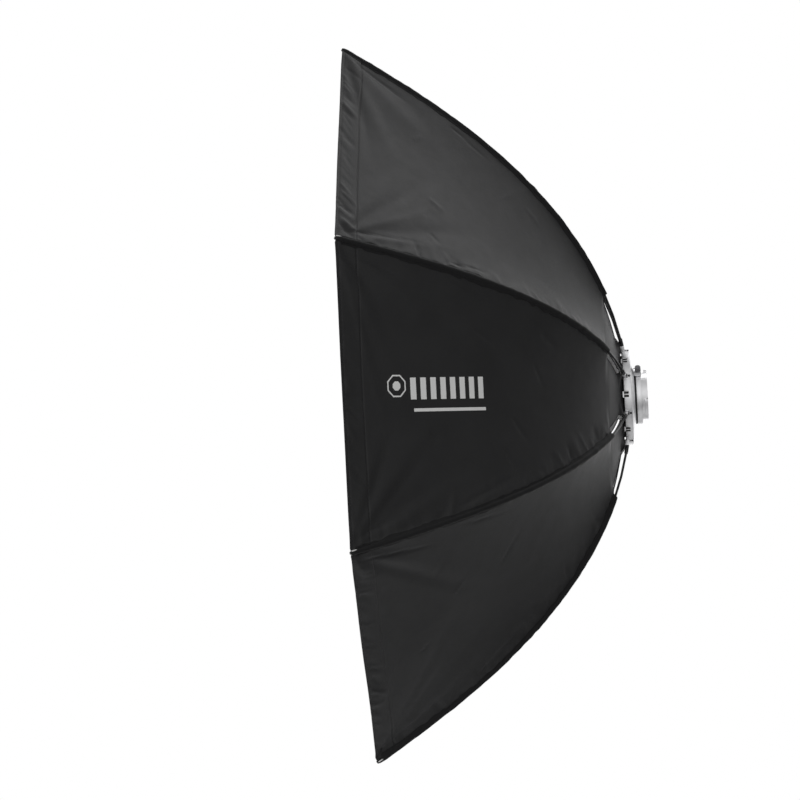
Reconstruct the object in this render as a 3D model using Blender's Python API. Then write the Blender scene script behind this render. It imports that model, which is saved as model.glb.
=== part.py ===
"""Octagonal folding studio softbox, 1.5 m from corner to corner.

The optical axis lies along X and the light leaves towards -X.  The origin is on the axis, in the
plane where the bayonet's flange meets the flash.  Eight curved ribs stand at equal angles around
the axis, the first one RIB_ANGLE above +Y, so that a flat panel faces each side.

Each rib's own frame has X along the axis, Y outwards along the rib's radius and Z along the
tangent; an empty at the rib's hinge carries it, and a second one at the rib's tip carries the
sector of the front diffuser that hangs from it.
"""

import math

import bmesh
import bpy
from mathutils import Matrix, Vector

# Driving dimensions, in metres and degrees
RIBS = 8
RIB_STEP = 2 * math.pi / RIBS
RIB_ANGLE = RIB_STEP / 2
GAP = 0.0003                 # clearance between neighbours
RUN_OUT = 0.010              # how far a cutter runs past what it cuts
AXIS_MARK = 0.030            # drawn size of an empty

# Rib: an elastic rod whose slope eases from the hub to the tip
HINGE_X = -0.0313
HINGE_R = 0.088
RIB_START_R = 0.090
RIB_LENGTH = 0.8668
ROOT_SLOPE = 81.9            # angle to the optical axis at the hub
TIP_SLOPE = 34.6             # and at the tip
SLOPE_POWER = 1.728
RIB_SUMS = 60                # straight steps that add up to a point of the rib
HALVINGS = 40
ROD_R = 0.0025
ROD_SIDES = 8
ROD_STEPS = 16
FERRULE_R = 0.0040
FERRULE_END = 0.0330         # along the rib, from RIB_START_R
FERRULE_TAPER = 0.0020
ROD_START = 0.0192

# Speed ring, the part that holds the ribs
RING_FRONT = -0.0350
RING_RIM_BACK = -0.0205
RING_BACK = -0.0140
RING_R = 0.0980
RING_BACK_R = 0.0720
RING_BORE_R = 0.0524
RING_SEGMENTS = 64
SLOT_WIDTH = 0.0086
SLOT_BACK = -0.0270
SLOT_FLOOR_R = 0.0832
WEB_WIDTH = 0.0022           # stem of the T-shaped web between two pockets
WEB_BAR_X = (-0.0385, -0.0330)
WEB_BAR_R = (0.0868, 0.0965)
WEB_BAR_WIDTH = 0.0125
POCKET_X = (-0.0357, -0.0262)
POCKET_WIDTH = 0.0044
POCKET_FLOOR_R = 0.0880

# Rib holder and its pin
HOLDER_THICK = 0.0078        # front to back
HOLDER_WIDTH = 0.0078
HOLDER_END_R = 0.1087
HEEL_POINTS = 12
PIN_R = 0.0015
PIN_LENGTH = 0.0184

# Release button, one behind each holder
BUTTON_X = -0.0238
BUTTON_R = 0.0021
BUTTON_TOP_R = 0.0990
BUTTON_LENGTH = 0.0080
BUTTON_TRAVEL = 0.0025

# Bayonet adapter with its three lugs, and the ring that keeps the speed ring on it
FLANGE_R = 0.0580
FLANGE_FRONT = -0.0100
NECK_R = 0.0520
NECK_FRONT = -0.0380
THROAT_R = 0.0440
SPIGOT_R = 0.0490
SPIGOT_BACK = 0.0120
LUG_R = 0.0540
LUG_FRONT = 0.0060
LUG_ARC = math.radians(38)
LUGS = 3
LUG_SEGMENTS = 8
KEEPER_R = 0.0600
KEEPER_THICK = 0.0030
WASHER_R = (0.0523, 0.0565)  # black friction washer between the speed ring and the flange

# Thumbscrew that locks the turn of the speed ring, in a boss on its back
KNOB_ANGLE = math.radians(135)
KNOB_X = -0.0055
BOSS_SIZE = 0.0130
BOSS_X = (-0.0160, 0.0010)
BOSS_R = (0.0590, 0.0680)
KNOB_R = 0.0058
KNOB_HEAD = (0.0688, 0.0786)
KNOB_FLUTES = 14
FLUTE_BOTTOM = 0.90          # share of KNOB_R
SHANK_R = 0.0020
SHANK_OVERLAP = 0.0020

# Fabric
COLLAR_R = (0.0610, 0.0822)
COLLAR_X = (-0.0388, -0.0353)
COLLAR_SEGMENTS = 48
PANEL_START = 0.0165         # along the rib
PANEL_THICK = 0.0014
PANEL_EDGE = 0.0042          # from the rib's middle to the panel's edge
NOTCH_EDGE = 0.0095          # the same beside the open slot near the hub
NOTCH = (0.034, 0.133)       # the slot's stretch along the rib
NOTCH_CORNER = 0.003
PANEL_DIP = 0.0130           # how far the cloth's middle draws in between two ribs
DIP_SKEW = 0.8               # below 1, the deepest place is nearer to the hub
PANEL_FRONT_PUSH = 0.0085    # how far it clears the speed ring's face
PUSH_LENGTH = 0.10
PANEL_ROWS = 11              # in front of the slot
PANEL_COLUMNS = 4

DIFFUSER_X = -0.5410
DIFFUSER_EDGE = 0.0065       # between the diffuser's corner and the rib
DIFFUSER_THICK = 0.0012

ALUMINIUM = ((0.80, 0.80, 0.81), 0.32, 1.0)
STEEL = ((0.62, 0.62, 0.64), 0.28, 1.0)
BLACK_STEEL = ((0.025, 0.025, 0.027), 0.40, 0.6)
BLACK_PLASTIC = ((0.018, 0.018, 0.019), 0.45, 0.0)
BLACK_CLOTH = ((0.022, 0.022, 0.024), 0.80, 0.0)
WHITE_CLOTH = ((0.86, 0.86, 0.85), 0.85, 0.0)


def clear_scene():
    for thing in list(bpy.data.objects):
        bpy.data.objects.remove(thing, do_unlink=True)


def material(name, look):
    """A Principled material with a colour, a roughness and a metallic value."""
    colour, roughness, metallic = look
    made = bpy.data.materials.new(name)
    made.use_nodes = True
    shader = made.node_tree.nodes["Principled BSDF"]
    shader.inputs["Base Color"].default_value = (*colour, 1.0)
    shader.inputs["Roughness"].default_value = roughness
    shader.inputs["Metallic"].default_value = metallic
    made.diffuse_color = (*colour, 1.0)
    return made


def add_object(name, bm, finish=None, parent=None, smooth=True):
    """Make an object from a bmesh, under a parent if one is given."""
    bmesh.ops.remove_doubles(bm, verts=bm.verts, dist=1e-6)
    bmesh.ops.recalc_face_normals(bm, faces=bm.faces)
    mesh = bpy.data.meshes.new(name)
    bm.to_mesh(mesh)
    bm.free()
    if smooth:
        mesh.shade_smooth()
        mesh.set_sharp_from_angle(angle=math.radians(35))
    made = bpy.data.objects.new(name, mesh)
    bpy.context.scene.collection.objects.link(made)
    if finish:
        mesh.materials.append(finish)
    if parent:
        made.parent = parent
    return made


def add_axis(name, angle, x, r):
    """An empty at a distance r from the optical axis, turned about X by the angle."""
    made = bpy.data.objects.new(name, None)
    made.empty_display_size = AXIS_MARK
    made.location = Matrix.Rotation(angle, 3, "X") @ Vector((x, r, 0))
    made.rotation_euler = (angle, 0, 0)
    bpy.context.scene.collection.objects.link(made)
    return made


def add_boolean(target, cutter, operation="DIFFERENCE"):
    """Cut or join one object with another, which stays as a hidden guide."""
    cutter.hide_render = True
    cutter.display_type = "WIRE"
    step = target.modifiers.new(cutter.name, "BOOLEAN")
    step.operation = operation
    step.object = cutter


def add_turned(bm, profile, segments, arc=None):
    """Turn a closed (x, r) profile around X: a full turn, or the sector (start, end) with ends."""
    full = arc is None
    start, end = arc or (0.0, 2 * math.pi)
    count = segments if full else segments + 1
    rings = []
    for i in range(count):
        a = start + (end - start) * i / segments
        rings.append([bm.verts.new((x, r * math.cos(a), r * math.sin(a))) for x, r in profile])
    for i in range(segments):
        here, there = rings[i], rings[(i + 1) % count]
        for j in range(len(profile)):
            k = (j + 1) % len(profile)
            bm.faces.new((here[j], here[k], there[k], there[j]))
    if not full:
        bm.faces.new(rings[0])
        bm.faces.new(rings[-1])


def add_box(bm, xs, rs, width, angle=0.0, middle=0.0):
    """A box between two values of x and of r, as wide as said along the tangent at an angle."""
    turn = Matrix.Rotation(angle, 4, "X")
    size = Vector((xs[1] - xs[0], rs[1] - rs[0], width))
    place = Vector(((xs[0] + xs[1]) / 2, (rs[0] + rs[1]) / 2, middle))
    made = bmesh.ops.create_cube(bm, size=1.0)
    for vert in made["verts"]:
        vert.co = turn @ (Vector(a * b for a, b in zip(vert.co, size)) + place)


def add_rod(bm, centre, direction, radius, length, segments=12, angle=0.0):
    """A straight round bar centred on a point, its frame turned about X by an angle."""
    aim = direction.to_track_quat("Z", "Y").to_matrix().to_4x4()
    place = Matrix.Rotation(angle, 4, "X") @ Matrix.Translation(centre) @ aim
    bmesh.ops.create_cone(
        bm, cap_ends=True, segments=segments, radius1=radius, radius2=radius,
        depth=length, matrix=place,
    )


def rib_point(s):
    """The rib's centre line at a distance s along it: (x, r, slope to the optical axis)."""
    x, r = HINGE_X, RIB_START_R
    root, tip = math.radians(ROOT_SLOPE), math.radians(TIP_SLOPE)

    def slope(at):
        left = max(0.0, 1 - at / RIB_LENGTH)
        return tip + (root - tip) * left ** SLOPE_POWER

    for i in range(RIB_SUMS):
        here = slope(s * (i + 0.5) / RIB_SUMS)
        x -= math.cos(here) * s / RIB_SUMS
        r += math.sin(here) * s / RIB_SUMS
    return x, r, slope(s)


def rib_at_x(x):
    """The distance along the rib at which it passes a plane across the axis."""
    low, high = 0.0, RIB_LENGTH
    for _ in range(HALVINGS):
        middle = (low + high) / 2
        if rib_point(middle)[0] > x:
            low = middle
        else:
            high = middle
    return low


def rib_mesh():
    """The rod with its thicker ferrule, swept along the rib in the rib's frame."""
    stops = [(ROD_START, FERRULE_R), (FERRULE_END, FERRULE_R), (FERRULE_END + FERRULE_TAPER, ROD_R)]
    run = RIB_LENGTH - stops[-1][0]
    stops += [(stops[-1][0] + run * (i + 1) / ROD_STEPS, ROD_R) for i in range(ROD_STEPS)]
    bm = bmesh.new()
    rings = []
    for s, radius in stops:
        x, r, slope = rib_point(s)
        out = Vector((math.sin(slope), math.cos(slope), 0))
        side = Vector((0, 0, 1))
        ring = []
        for i in range(ROD_SIDES):
            a = 2 * math.pi * (i + 0.5) / ROD_SIDES
            place = Vector((x, r, 0)) + radius * (math.cos(a) * out + math.sin(a) * side)
            ring.append(bm.verts.new(place - Vector((HINGE_X, HINGE_R, 0))))
        rings.append(ring)
    for here, there in zip(rings, rings[1:]):
        for i in range(ROD_SIDES):
            j = (i + 1) % ROD_SIDES
            bm.faces.new((here[i], here[j], there[j], there[i]))
    bm.faces.new(rings[0])
    bm.faces.new(rings[-1])
    return bm


def holder_mesh():
    """The rib's holder: an arm with a round heel about the hinge, in the rib's frame."""
    half = HOLDER_THICK / 2
    lean = math.radians(90 - ROOT_SLOPE)
    along = Vector((-math.sin(lean), math.cos(lean), 0))
    across = Vector((math.cos(lean), math.sin(lean), 0))
    reach = (HOLDER_END_R - HINGE_R) / math.cos(lean)
    outline = []
    for i in range(HEEL_POINTS + 1):
        a = math.pi * i / HEEL_POINTS
        outline.append(half * (-math.cos(a) * across - math.sin(a) * along))
    outline += [half * across + reach * along, -half * across + reach * along]
    bm = bmesh.new()
    levels = []
    for z in (-HOLDER_WIDTH / 2, HOLDER_WIDTH / 2):
        levels.append([bm.verts.new(p + Vector((0, 0, z))) for p in outline])
    count = len(outline)
    for i in range(count):
        j = (i + 1) % count
        bm.faces.new((levels[0][i], levels[0][j], levels[1][j], levels[1][i]))
    bm.faces.new(levels[0])
    bm.faces.new(levels[1])
    return bm


def panel_point(s, u, lift):
    """A point of the cloth between rib 0, at the angle 0, and rib 1.

    s runs along the ribs, u from 0 at one edge to 1 at the other, and lift is the distance
    outwards from the cloth's middle surface.
    """
    x, r, slope = rib_point(s)
    edge = NOTCH_EDGE if NOTCH[0] < s < NOTCH[1] else PANEL_EDGE
    first = Vector((x, r, edge))
    last = Matrix.Rotation(RIB_STEP, 3, "X") @ Vector((x, r, -edge))
    place = first.lerp(last, u)
    middle = RIB_STEP / 2
    radial = Vector((0, math.cos(middle), math.sin(middle)))
    outward = Vector((math.sin(slope), *(math.cos(slope) * radial).yz))
    crown = 4 * u * (1 - u)
    share = (s - PANEL_START) / (RIB_LENGTH - PANEL_START)
    dip = PANEL_DIP * crown * math.sin(math.pi * share ** DIP_SKEW)
    push = PANEL_FRONT_PUSH * math.sqrt(crown) * max(0.0, 1 - (s - PANEL_START) / PUSH_LENGTH)
    return place + (lift - dip) * outward - Vector((push, 0, 0))


def panel_rows():
    """The stations of the cloth along the rib: one stretch beside the open slot, one beyond it."""
    start, end = NOTCH
    rows = [PANEL_START, start]
    rows += [start + NOTCH_CORNER, (start + end) / 2, end - NOTCH_CORNER]
    rows += [end + (RIB_LENGTH - GAP - end) * i / PANEL_ROWS for i in range(PANEL_ROWS + 1)]
    return rows


def panel_mesh():
    """One gore of the canopy as a thin closed sheet."""
    rows = panel_rows()
    last = len(rows) - 1
    bm = bmesh.new()
    skins = []
    for lift in (PANEL_THICK / 2, -PANEL_THICK / 2):
        skins.append([
            [bm.verts.new(panel_point(s, j / PANEL_COLUMNS, lift)) for j in range(PANEL_COLUMNS + 1)]
            for s in rows
        ])
    for grid in skins:
        for i in range(last):
            for j in range(PANEL_COLUMNS):
                bm.faces.new((grid[i][j], grid[i][j + 1], grid[i + 1][j + 1], grid[i + 1][j]))
    outer, inner = skins
    for i in range(last):
        for j in (0, PANEL_COLUMNS):
            bm.faces.new((outer[i][j], outer[i + 1][j], inner[i + 1][j], inner[i][j]))
    for j in range(PANEL_COLUMNS):
        for i in (0, last):
            bm.faces.new((outer[i][j], outer[i][j + 1], inner[i][j + 1], inner[i][j]))
    bmesh.ops.translate(bm, verts=bm.verts, vec=(-HINGE_X, -HINGE_R, 0))
    return bm


def diffuser_mesh(tip_x, tip_r):
    """One kite-shaped sector of the front diffuser, from the axis to the rib's tip."""
    corner = tip_r - DIFFUSER_EDGE
    half = RIB_STEP / 2
    flat = corner * math.cos(half)
    side = GAP / 2 / math.sin(half)
    kite = [
        (side, 0.0),
        (flat * math.cos(half) + side, -flat * math.sin(half)),
        (corner, 0.0),
        (flat * math.cos(half) + side, flat * math.sin(half)),
    ]
    bm = bmesh.new()
    levels = []
    for x in (-DIFFUSER_THICK / 2, DIFFUSER_THICK / 2):
        levels.append([bm.verts.new((DIFFUSER_X + x - tip_x, r - tip_r, t)) for r, t in kite])
    for i in range(4):
        j = (i + 1) % 4
        bm.faces.new((levels[0][i], levels[0][j], levels[1][j], levels[1][i]))
    bm.faces.new(levels[0])
    bm.faces.new(levels[1])
    return bm


def make_adapter(aluminium):
    """The bayonet: flange, neck inside the speed ring, and spigot with three lugs."""
    bm = bmesh.new()
    profile = [
        (NECK_FRONT, THROAT_R), (NECK_FRONT, NECK_R), (FLANGE_FRONT, NECK_R),
        (FLANGE_FRONT, FLANGE_R), (0.0, FLANGE_R), (0.0, SPIGOT_R),
        (SPIGOT_BACK, SPIGOT_R), (SPIGOT_BACK, THROAT_R),
    ]
    add_turned(bm, profile, RING_SEGMENTS)
    adapter = add_object("bayonet_adapter", bm, aluminium)
    lugs = bmesh.new()
    inside = (SPIGOT_R + THROAT_R) / 2
    lug = [(LUG_FRONT, inside), (LUG_FRONT, LUG_R), (SPIGOT_BACK - GAP, LUG_R),
           (SPIGOT_BACK - GAP, inside)]
    for k in range(LUGS):
        middle = math.pi / 2 + k * 2 * math.pi / LUGS
        add_turned(lugs, lug, LUG_SEGMENTS, (middle - LUG_ARC / 2, middle + LUG_ARC / 2))
    add_boolean(adapter, add_object("lug_joiner", lugs, smooth=False), "UNION")
    return adapter


def make_keeper(aluminium):
    """The flat ring in front that keeps the speed ring on the neck."""
    back = NECK_FRONT - GAP
    profile = [(back - KEEPER_THICK, THROAT_R), (back - KEEPER_THICK, KEEPER_R),
               (back, KEEPER_R), (back, THROAT_R)]
    bm = bmesh.new()
    add_turned(bm, profile, RING_SEGMENTS)
    return add_object("retaining_ring", bm, aluminium)


def make_washer(plastic):
    """The friction washer that the speed ring turns against."""
    inner, outer = WASHER_R
    front, back = RING_BACK + GAP, FLANGE_FRONT - GAP
    bm = bmesh.new()
    add_turned(bm, [(front, inner), (front, outer), (back, outer), (back, inner)], RING_SEGMENTS)
    return add_object("friction_washer", bm, plastic)


def make_speed_ring(aluminium):
    """The ring with a slot for each rib holder and a pair of pockets between two slots."""
    bm = bmesh.new()
    profile = [
        (RING_FRONT, RING_BORE_R), (RING_FRONT, RING_R), (RING_RIM_BACK, RING_R),
        (RING_BACK, RING_BACK_R), (RING_BACK, RING_BORE_R),
    ]
    add_turned(bm, profile, RING_SEGMENTS)
    ring = add_object("speed_ring", bm, aluminium)

    webs = bmesh.new()
    for k in range(RIBS):
        add_box(webs, WEB_BAR_X, WEB_BAR_R, WEB_BAR_WIDTH, k * RIB_STEP)
    add_box(webs, BOSS_X, BOSS_R, BOSS_SIZE, KNOB_ANGLE)
    add_boolean(ring, add_object("web_joiner", webs, smooth=False), "UNION")

    slots = bmesh.new()
    beyond = RING_R + RUN_OUT
    slot_x = (RING_FRONT - RUN_OUT, SLOT_BACK)
    beside = (WEB_WIDTH + POCKET_WIDTH) / 2
    for k in range(RIBS):
        add_box(slots, slot_x, (SLOT_FLOOR_R, beyond), SLOT_WIDTH, RIB_ANGLE + k * RIB_STEP)
        for middle in (-beside, beside):
            add_box(slots, POCKET_X, (POCKET_FLOOR_R, beyond), POCKET_WIDTH, k * RIB_STEP, middle)
    add_boolean(ring, add_object("slot_cutter", slots, smooth=False))

    bores = bmesh.new()
    for k in range(RIBS):
        rib = RIB_ANGLE + k * RIB_STEP
        add_rod(bores, Vector((HINGE_X, HINGE_R, 0)), Vector((0, 0, 1)),
                PIN_R + GAP, PIN_LENGTH + 2 * GAP, angle=rib)
        depth = BUTTON_LENGTH + BUTTON_TRAVEL + GAP
        middle = BUTTON_TOP_R - depth / 2
        add_rod(bores, Vector((BUTTON_X, middle, 0)), Vector((0, 1, 0)),
                BUTTON_R + GAP, depth, angle=rib)
    screw_run = (BOSS_R[0] + BOSS_R[1]) / 2
    add_rod(bores, Vector((KNOB_X, screw_run, 0)), Vector((0, 1, 0)),
            SHANK_R + GAP, BOSS_R[1] - BOSS_R[0] + 2 * RUN_OUT, angle=KNOB_ANGLE)
    add_boolean(ring, add_object("bore_cutter", bores, smooth=False))
    return ring


def make_collar(cloth):
    """The stiffened fabric collar on the speed ring's face."""
    bm = bmesh.new()
    inner, outer = COLLAR_R
    front, back = COLLAR_X
    profile = [(front, inner), (front, outer), (back, outer), (back, inner)]
    add_turned(bm, profile, COLLAR_SEGMENTS)
    return add_object("hub_collar", bm, cloth)


def make_knob(plastic):
    """The fluted thumbscrew, with its origin on its own axis."""
    pivot = add_axis("knob_axis", KNOB_ANGLE, KNOB_X, KNOB_HEAD[0])
    bm = bmesh.new()
    head = KNOB_HEAD[1] - KNOB_HEAD[0]
    count = 2 * KNOB_FLUTES
    levels = []
    for y in (0.0, head):
        ring = []
        for i in range(count):
            a = 2 * math.pi * i / count
            radius = KNOB_R * (1.0 if i % 2 else FLUTE_BOTTOM)
            ring.append(bm.verts.new((radius * math.cos(a), y, radius * math.sin(a))))
        levels.append(ring)
    for i in range(count):
        j = (i + 1) % count
        bm.faces.new((levels[0][i], levels[0][j], levels[1][j], levels[1][i]))
    bm.faces.new(levels[0])
    bm.faces.new(levels[1])
    knob = add_object("rotation_lock_knob", bm, plastic, pivot, smooth=False)
    shank = bmesh.new()
    shank_end = FLANGE_R + GAP - KNOB_HEAD[0]
    add_rod(shank, Vector((0, (shank_end + SHANK_OVERLAP) / 2, 0)), Vector((0, 1, 0)),
            SHANK_R, SHANK_OVERLAP - shank_end)
    joiner = add_object("shank_joiner", shank, parent=pivot, smooth=False)
    add_boolean(knob, joiner, "UNION")
    return knob


def make_rib(k, finishes):
    """Everything that stands at one rib: holder, pin, rod, button, canopy gore and diffuser."""
    number = k + 1
    angle = RIB_ANGLE + k * RIB_STEP
    hinge = add_axis(f"rib_{number}_hinge", angle, HINGE_X, HINGE_R)

    holder = add_object(f"rib_holder_{number}", holder_mesh(), finishes["aluminium"], hinge)
    bore = bmesh.new()
    add_rod(bore, Vector((0, 0, 0)), Vector((0, 0, 1)), PIN_R + GAP, 2 * HOLDER_WIDTH)
    add_boolean(holder, add_object(f"holder_bore_{number}", bore, parent=hinge, smooth=False))

    pin = bmesh.new()
    add_rod(pin, Vector((0, 0, 0)), Vector((0, 0, 1)), PIN_R, PIN_LENGTH)
    add_object(f"hinge_pin_{number}", pin, finishes["steel"], hinge)

    add_object(f"rib_rod_{number}", rib_mesh(), finishes["black_steel"], hinge)
    add_object(f"canopy_panel_{number}", panel_mesh(), finishes["cloth"], hinge)

    button_top = add_axis(f"button_{number}_axis", angle, BUTTON_X, BUTTON_TOP_R)
    button = bmesh.new()
    add_rod(button, Vector((0, -BUTTON_LENGTH / 2, 0)), Vector((0, 1, 0)), BUTTON_R, BUTTON_LENGTH)
    add_object(f"release_button_{number}", button, finishes["plastic"], button_top)

    tip_x, tip_r, _ = rib_point(rib_at_x(DIFFUSER_X))
    tip = add_axis(f"rib_{number}_tip", angle, tip_x, tip_r)
    add_object(f"diffuser_sector_{number}", diffuser_mesh(tip_x, tip_r), finishes["diffuser"], tip)


def main():
    clear_scene()
    finishes = {
        "aluminium": material("cast_aluminium", ALUMINIUM),
        "steel": material("pin_steel", STEEL),
        "black_steel": material("black_rod", BLACK_STEEL),
        "plastic": material("black_plastic", BLACK_PLASTIC),
        "cloth": material("black_cloth", BLACK_CLOTH),
        "diffuser": material("white_cloth", WHITE_CLOTH),
    }
    make_adapter(finishes["aluminium"])
    make_keeper(finishes["aluminium"])
    make_washer(finishes["plastic"])
    make_speed_ring(finishes["aluminium"])
    make_collar(finishes["cloth"])
    make_knob(finishes["plastic"])
    for k in range(RIBS):
        make_rib(k, finishes)


main()
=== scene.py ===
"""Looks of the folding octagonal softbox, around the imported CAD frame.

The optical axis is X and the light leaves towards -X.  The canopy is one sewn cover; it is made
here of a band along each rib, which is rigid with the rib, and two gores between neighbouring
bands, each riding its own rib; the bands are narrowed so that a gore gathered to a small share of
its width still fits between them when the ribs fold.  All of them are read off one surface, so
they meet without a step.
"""

import math

import bpy
import numpy as np
from mathutils import Matrix, Vector


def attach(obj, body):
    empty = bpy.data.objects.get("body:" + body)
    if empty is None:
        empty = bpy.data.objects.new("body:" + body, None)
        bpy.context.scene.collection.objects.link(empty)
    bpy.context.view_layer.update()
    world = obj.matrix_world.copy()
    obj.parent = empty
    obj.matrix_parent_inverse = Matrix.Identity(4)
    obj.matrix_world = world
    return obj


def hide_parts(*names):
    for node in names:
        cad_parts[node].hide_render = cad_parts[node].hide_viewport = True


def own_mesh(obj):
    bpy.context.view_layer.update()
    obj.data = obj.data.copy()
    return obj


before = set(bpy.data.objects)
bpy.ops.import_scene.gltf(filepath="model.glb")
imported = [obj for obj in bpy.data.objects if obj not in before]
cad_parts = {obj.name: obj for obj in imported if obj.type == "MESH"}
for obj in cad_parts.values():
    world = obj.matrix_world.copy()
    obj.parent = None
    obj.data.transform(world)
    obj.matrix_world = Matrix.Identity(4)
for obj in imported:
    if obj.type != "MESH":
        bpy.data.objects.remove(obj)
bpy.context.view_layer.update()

# The ribs' layout and curve, as in the CAD
RIBS = 8
STEP = 2 * math.pi / RIBS
HALF = STEP / 2
HINGE_X = -0.0313
HINGE_R = 0.088
RIB_START_R = 0.090
RIB_LENGTH = 0.8668
ROOT_SLOPE = math.radians(81.9)
TIP_SLOPE = math.radians(34.6)
SLOPE_POWER = 1.728
PANEL_START = 0.0165
PANEL_DIP = 0.0155
FRONT_PUSH = 0.0085
PUSH_LENGTH = 0.10
DIFFUSER_X = -0.5410

# Canopy
CLOTH = 0.0008               # thickness
FOLD = math.radians(48)      # the ribs' full fold
BAND_GAP = 0.0004            # least distance from a band's edge to the middle between two folded ribs
EDGE_DROP = 0.0078           # how far the cloth's edge lies in front of the rod along the open slot
EDGE = 0.0044                # from the rib's middle to the cloth's edge
SLOT_EDGE = 0.0100           # the same beside the open slot near the hub
SLOT = (0.036, 0.131)        # the slot's stretch along the rib
HEM = 0.045                  # depth of the hem at the front edge
BINDING = 0.0058             # depth of the second fold at the very edge
GRID = 0.006                 # step of the canopy's mesh
GATHERED = 0.03              # share of a gore's width that is left when the ribs are folded
SPARE = GATHERED / (1 - GATHERED)   # room for it, so that two gores still meet at the panel's middle
STITCH = 0.0042              # length of one stitch
STITCH_GAP = 0.0016
PROUD = 0.0001               # how far stitches lie above the cloth
OUTSIDE, LINING, THREAD, TAPE = range(4)   # material slots of the canopy's pieces

# Studio
FLOOR_X = -0.27
FLOOR_Z = -2.1
FLOOR_SIZE = 2.1


# ---------------------------------------------------------------- the canopy's surface

def rib_table(samples=1600):
    """The rib's centre line: distance along it, x, r and slope to the axis."""
    s = np.linspace(0, RIB_LENGTH, samples)
    slope = TIP_SLOPE + (ROOT_SLOPE - TIP_SLOPE) * (1 - s / RIB_LENGTH) ** SLOPE_POWER
    middle = (slope[1:] + slope[:-1]) / 2
    run = np.diff(s)
    x = HINGE_X - np.concatenate([[0], np.cumsum(np.cos(middle) * run)])
    r = RIB_START_R + np.concatenate([[0], np.cumsum(np.sin(middle) * run)])
    return s, x, r, slope


RIB_S, RIB_X, RIB_R, RIB_SLOPE = rib_table()


def rib_at(s):
    return (np.interp(s, RIB_S, RIB_X), np.interp(s, RIB_S, RIB_R), np.interp(s, RIB_S, RIB_SLOPE))


def half_width(s):
    """Half the straight distance between two neighbouring ribs."""
    return rib_at(s)[1] * math.sin(HALF)


def rib_angle(k):
    return HALF + k * STEP


def turned(x, r, t, a):
    """Points at radius r from the axis, in the direction a, and t across that direction."""
    return np.stack([x, r * math.cos(a) - t * math.sin(a), r * math.sin(a) + t * math.cos(a)], -1)


def smooth_step(a, b, v):
    t = np.clip((v - a) / (b - a), 0, 1)
    return t * t * (3 - 2 * t)


class Folds:
    """The small folds of one panel: soft ridges, each along a line, in the panel's own plane."""

    def __init__(self, seed):
        self.draw = np.random.default_rng(seed)
        self.lines = []
        self.waves = []
        width = float(half_width(RIB_LENGTH))
        for side in (-1, 1):
            self.from_corner(side, width)
            self.along_rib(side)
            self.crease(side)
        self.in_hem(width)
        for _ in range(6):
            self.waves.append((
                self.draw.uniform(0.0004, 0.0011), self.draw.uniform(6, 18),
                self.draw.uniform(8, 22), self.draw.uniform(0, 2 * math.pi),
            ))

    def add(self, s, q, angle, length, breadth, height):
        self.lines.append((s, q, math.cos(angle), math.sin(angle), length, breadth, height))

    def sign(self):
        return self.draw.choice([-1, 1])

    def from_corner(self, side, width):
        """Long folds that the stretched corner sends into the panel."""
        for i in range(6):
            lean = 0.42 + 0.17 * i + self.draw.uniform(-0.05, 0.05)
            self.add(
                RIB_LENGTH - 0.004, side * (width - 0.010), math.pi + side * lean,
                self.draw.uniform(0.18, 0.46), self.draw.uniform(0.007, 0.017),
                self.sign() * self.draw.uniform(0.0008, 0.0023),
            )

    def along_rib(self, side):
        """Short puckers where the cloth is sewn along the rib."""
        s = 0.15
        while s < RIB_LENGTH - 0.02:
            self.add(
                s, side * (float(half_width(s)) - 0.008),
                math.pi / 2 - side * math.pi + self.draw.uniform(-0.7, 0.7),
                self.draw.uniform(0.018, 0.060), self.draw.uniform(0.004, 0.009),
                self.sign() * self.draw.uniform(0.0005, 0.0016),
            )
            s += self.draw.uniform(0.012, 0.032)

    def crease(self, side):
        """A slack crease beside the rib, in one or two stretches, and a few short ones inside."""
        for start, length in ((RIB_LENGTH - 0.03, 0.20), (RIB_LENGTH - 0.26, 0.16)):
            self.add(
                start, side * (float(half_width(start)) - self.draw.uniform(0.020, 0.030)),
                math.pi + side * 0.36, length * self.draw.uniform(0.6, 1.2),
                self.draw.uniform(0.0028, 0.0045), -self.draw.uniform(0.0008, 0.0018),
            )
        for _ in range(3):
            self.add(
                self.draw.uniform(0.35, 0.78), side * self.draw.uniform(0.02, 0.15),
                self.draw.uniform(0.4, 1.1) * self.sign() + math.pi, self.draw.uniform(0.03, 0.09),
                self.draw.uniform(0.0030, 0.0060), self.sign() * self.draw.uniform(0.0004, 0.0012),
            )

    def in_hem(self, width):
        """Slanting wrinkles across the hem, more of them in some places than in others."""
        q = -width + 0.03
        while q < width - 0.03:
            slack = 0.35 + 0.65 * math.sin(9 * q + self.lines[0][4] * 40) ** 2
            self.add(
                RIB_LENGTH - self.draw.uniform(0.002, 0.014), q,
                math.pi + self.draw.uniform(-1.1, -0.3), self.draw.uniform(0.030, 0.060),
                self.draw.uniform(0.0030, 0.0065),
                self.sign() * slack * self.draw.uniform(0.0008, 0.0022),
            )
            q += self.draw.uniform(0.012, 0.034)

    def height(self, s, q):
        total = np.zeros_like(s)
        for s0, q0, c, n, length, breadth, height in self.lines:
            along = (s - s0) * c + (q - q0) * n
            across = (q - q0) * c - (s - s0) * n
            t = along / length
            near = (t > -0.15) & (t < 1) & (np.abs(across) < 5.5 * breadth)
            if not near.any():
                continue
            t, across = t[near], across[near]
            taper = smooth_step(-0.15, 0.12, t) * (1 - smooth_step(0.35, 1.0, t))
            spread = breadth * (1 + 0.6 * np.clip(t, 0, 1))
            total[near] += height * taper * np.exp(-((across / spread) ** 2))
        for height, a, b, phase in self.waves:
            total += height * np.sin(a * s + phase) * np.cos(b * q + 2 * phase)
        return total


FOLDS = [Folds(40 + k) for k in range(RIBS)]


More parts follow.
